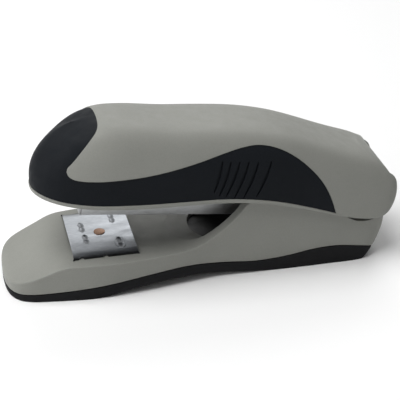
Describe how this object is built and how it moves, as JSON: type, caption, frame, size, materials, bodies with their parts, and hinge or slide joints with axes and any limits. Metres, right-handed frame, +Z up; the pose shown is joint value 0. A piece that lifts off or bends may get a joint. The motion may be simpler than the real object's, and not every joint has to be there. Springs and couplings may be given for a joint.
{
  "type": "stapler",
  "caption": "Half-strip desktop stapler: grey plastic cap with black soft grip, sprung steel magazine with pusher, swivelling chromed anvil and grey base on a black sole",
  "frame": {"origin": "on the table under the middle of the stapler's box", "axes": "+X from the staple end to the hinge, +Y across, +Z up"},
  "size_m": [0.1426, 0.0404, 0.0619],
  "materials": {
    "grey_plastic": "fine matte texture, warm grey",
    "black_grip": "soft-touch matte black",
    "black_sole": "matte black rubbery plastic",
    "anvil_steel": "bright plated steel with fine stamping marks",
    "sheet_steel": "zinc-plated pressed steel",
    "black_steel": "pressed steel under satin black paint",
    "spring_steel": "dark tempered spring steel",
    "rivet_brass": "dull brassed rivet",
    "staple_wire": "galvanised wire, glued in a strip",
    "pusher_plastic": "moulded black acetal",
    "screw_steel": "blackened zinc screws"
  },
  "bodies": {
    "base": {"base_shell": "grey_plastic", "base_sole": "black_sole", "base_frame": "black_steel", "hinge_pin": "sheet_steel", "hinge_spacer": "sheet_steel", "hinge_washer_near": "sheet_steel", "hinge_washer_far": "sheet_steel", "lift_spring": "spring_steel", "lift_spring_rivet": "rivet_brass", "base_screw_1": "screw_steel", "base_screw_2": "screw_steel", "base_screw_3": "screw_steel", "base_screw_4": "screw_steel"},
    "anvil_lift": {"anvil_rivet": "rivet_brass", "anvil_post": "sheet_steel", "anvil_button": "pusher_plastic", "anvil_spring": "spring_steel"},
    "anvil": {"anvil_plate": "anvil_steel"},
    "magazine": {"magazine_channel": "sheet_steel", "magazine_face": "sheet_steel", "staple_rail": "sheet_steel", "staple_strip": "staple_wire", "pusher_rod": "sheet_steel", "rod_bracket": "sheet_steel", "pusher_spring": "spring_steel"},
    "pusher": {"pusher": "pusher_plastic"},
    "cap": {"cap_frame": "sheet_steel", "driver_blade": "spring_steel", "driver_rivet_1": "rivet_brass", "driver_rivet_2": "rivet_brass", "cap_spring": "spring_steel", "cap_spring_rivet": "rivet_brass", "cap_screw_1": "screw_steel", "cap_screw_2": "screw_steel", "cap_shell": "grey_plastic", "soft_grip": "black_grip"}
  },
  "joints": [
    {"name": "magazine_hinge", "type": "hinge", "parent": "base", "child": "magazine", "pos_m": [0.059, 0, 0.029], "axis": [0, 1, 0], "range_deg": [-6.7, 60], "stiffness_Nm_per_rad": 0.16, "springref_deg": 18.96, "deforming": ["lift_spring"]},
    {"name": "cap_hinge", "type": "hinge", "parent": "magazine", "child": "cap", "pos_m": [0.059, 0, 0.029], "axis": [0, 1, 0], "range_deg": [-3.5, 55], "stiffness_Nm_per_rad": 0.086, "springref_deg": 20, "deforming": ["cap_spring"]},
    {"name": "pusher_slide", "type": "slide", "parent": "magazine", "child": "pusher", "axis": [0.9928, 0, -0.1201], "range_m": [0, 0.029], "stiffness_N_per_m": 60, "springref_m": -0.03, "deforming": ["pusher_spring"]},
    {"name": "anvil_lift_slide", "type": "slide", "parent": "base", "child": "anvil_lift", "axis": [0, 0, 1], "range_m": [0, 0.0025], "stiffness_N_per_m": 300, "springref_m": -0.003, "deforming": ["anvil_spring"]},
    {"name": "anvil_turn", "type": "hinge", "parent": "anvil_lift", "child": "anvil", "pos_m": [-0.0364, 0, 0.0145], "axis": [0, 0, 1], "range_deg": [0, 180]}
  ]
}
